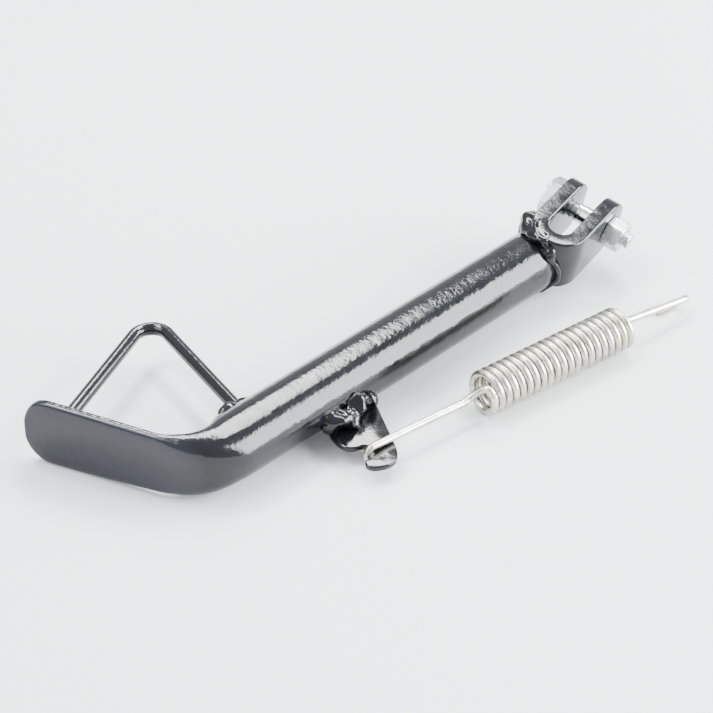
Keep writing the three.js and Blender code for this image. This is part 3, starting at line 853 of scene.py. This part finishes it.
# ---- return spring ----
HOOK_SIDES = 24
COIL_SIDES = 16
STEPS_PER_TURN = 44
PATH_STEPS = 6
NEAR_BEND_STEPS = 12
FAR_BEND_STEPS = 14
NEAR_STRAIGHT_SHARES = (0.14, 0.35, 0.6, 0.75)
FAR_STRAIGHT_SHARES = (0.25, 0.5, 0.75, 0.95)
# The bend into the coil: distance before it, then y and z in coil radii.
NEAR_RUN_IN = ((9.0, 0.0, 0.0), (5.6, 0.0, 0.15), (2.6, -0.25, 0.52), (0.9, -0.62, 0.72))
COIL_OVERLAP = 0.3
cos_yaw = math.cos(SPRING_YAW)
sin_yaw = math.sin(SPRING_YAW)


def on_spring(point):
    x, y, z = point
    return SPRING_SEAT + np.array((x * cos_yaw - y * sin_yaw, x * sin_yaw + y * cos_yaw, z))


def along_spring(distance):
    return np.array((distance, 0.0, 0.0))


def coil_point(turns):
    angle = COIL_START_TURN + FULL_TURN * turns
    return np.array((COIL_START + COIL_PITCH * turns, COIL_R * math.cos(angle), COIL_R * math.sin(angle)))


def half_turn(centre, start, towards, count):
    angles = [math.pi * k / count for k in range(count + 1)]
    return [centre + start * math.cos(angle) + towards * math.sin(angle) for angle in angles]


hook_centre = np.array((NEAR_HOOK_SET, 0, -NEAR_HOOK_R))
bend = half_turn(hook_centre, -UP * NEAR_HOOK_R, along_spring(-NEAR_HOOK_R), NEAR_BEND_STEPS)
corners = [bend[0] + along_spring(NEAR_HOOK_TAIL), bend[0] + along_spring(NEAR_HOOK_TAIL / 2), *bend]
corners += [along_spring(COIL_START * share) for share in NEAR_STRAIGHT_SHARES]
corners += [np.array((COIL_START - before, COIL_R * y, COIL_R * z)) for before, y, z in NEAR_RUN_IN]
coil_heading = np.array((0.0, -math.sin(COIL_START_TURN), math.cos(COIL_START_TURN)))
corners.append(coil_point(0) + coil_heading * COIL_OVERLAP)
path = [on_spring(p) for p in smooth_path(corners, PATH_STEPS)]
near = wire("near_hook_visual", path, WIRE_R, spring_steel, sides=HOOK_SIDES)
settle(near, "spring", "spring_wire", "spring_near_hook")

path = [on_spring(coil_point(k / STEPS_PER_TURN)) for k in range(int(COIL_TURNS * STEPS_PER_TURN) + 1)]
coil = wire("coil_visual", path, WIRE_R, spring_steel, sides=COIL_SIDES)
coil_end = COIL_START + COIL_TURNS * COIL_PITCH
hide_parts("spring_coil")
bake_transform(coil)

curl = np.array((0, math.cos(FAR_HOOK_TILT), math.sin(FAR_HOOK_TILT)))
hook_centre = np.array((coil_end + FAR_REACH - FAR_HOOK_R - WIRE_R, 0, -FAR_DROP)) + curl * FAR_HOOK_R
bend = half_turn(hook_centre, -curl * FAR_HOOK_R, along_spring(FAR_HOOK_R), FAR_BEND_STEPS)
first = np.array((coil_end + WIRE_R + GAP, 0, FAR_RISE))
corners = [first] + [mix(first, bend[0], share) for share in FAR_STRAIGHT_SHARES] + bend
corners += [bend[-1] - along_spring(FAR_HOOK_TAIL / 2), bend[-1] - along_spring(FAR_HOOK_TAIL)]
path = [on_spring(p) for p in smooth_path(corners, PATH_STEPS)]
far = wire("far_hook_visual", path, WIRE_R, spring_steel, sides=HOOK_SIDES)
settle(far, "spring_end", "spring_wire", "spring_far_hook")

# ---- floor, light and camera, in metres ----
FLOOR_HALF = 3.0
FLOOR_COLOR = (0.56, 0.57, 0.58, 1)
FLOOR_ROUGHNESS = 0.75
FLOOR_GLOSS = 0.2
SKY_COLOR = (0.9, 0.95, 1.0, 1)
SKY_STRENGTH = 1.3
CAMERA_AT = (-0.6736, -0.5095, 0.5420)
CAMERA_RIGHT = (0.69466, -0.71934, 0.0)
CAMERA_UP = (0.42788, 0.41320, 0.80387)
CAMERA_BACK = (-0.57825, -0.55841, 0.59482)
CAMERA_LENS = 112.6
CAMERA_SENSOR = 36.0
CAMERA_NEAREST = 0.01
CAMERA_FARTHEST = 50
# Name, place, target, direction of the width, width, height, watts, colour.
SOFTBOXES = (
    ("strip", (1.83, 1.2, 3.0), (1.83, 1.2, 0.0), (0.98, -0.18, 0), 0.8, 3.5, 420, (1, 1, 1)),
    ("overhead", (-0.55, 1.5, 3.0), (-0.55, 1.5, 0.0), (1, 0, 0), 1.6, 0.8, 200, (1, 1, 1)),
    ("side", (0.95, -1.15, 0.59), (-0.1, 0.0, 0.2), (1, 1, 0), 1.7, 1.26, 230, (0.96, 0.98, 1)),
    ("fill", (-1.2, 0.5, 1.1), (-0.13, 0.0, 0.0), (0, 1, 0), 1.2, 1.2, 30, (0.95, 0.97, 1)),
)

floor_finish, _nodes, _links, floor_shader, _place = new_material("floor_finish")
floor_shader.inputs["Base Color"].default_value = FLOOR_COLOR
floor_shader.inputs["Roughness"].default_value = FLOOR_ROUGHNESS
floor_shader.inputs["Specular IOR Level"].default_value = FLOOR_GLOSS
corners = ((-1, -1), (1, -1), (1, 1), (-1, 1))
points = [(x * FLOOR_HALF / MM, y * FLOOR_HALF / MM, SURFACE_Z) for x, y in corners]
add_mesh("floor", points, [(0, 1, 2, 3)], floor_finish, smooth=False)

scene = bpy.context.scene
if scene.world is None:
    scene.world = bpy.data.worlds.new("studio")
scene.world.use_nodes = True
sky = scene.world.node_tree.nodes["Background"]
sky.inputs["Color"].default_value = SKY_COLOR
sky.inputs["Strength"].default_value = SKY_STRENGTH

camera_data = bpy.data.cameras.new("camera")
camera_data.lens = CAMERA_LENS
camera_data.sensor_width = CAMERA_SENSOR
camera_data.clip_start = CAMERA_NEAREST
camera_data.clip_end = CAMERA_FARTHEST
camera = bpy.data.objects.new("camera", camera_data)
scene.collection.objects.link(camera)
camera.matrix_world = Matrix((CAMERA_RIGHT, CAMERA_UP, CAMERA_BACK)).transposed().to_4x4()
camera.location = CAMERA_AT
scene.camera = camera

for name, at, target, across, width, height, watts, color in SOFTBOXES:
    data = bpy.data.lights.new(name, "AREA")
    data.shape = "RECTANGLE"
    data.size = width
    data.size_y = height
    data.energy = watts
    data.color = color
    light = bpy.data.objects.new(name, data)
    scene.collection.objects.link(light)
    back = (Vector(at) - Vector(target)).normalized()
    wide = (Vector(across) - back * back.dot(Vector(across))).normalized()
    light.matrix_world = Matrix((wide, back.cross(wide), back)).transposed().to_4x4()
    light.location = at
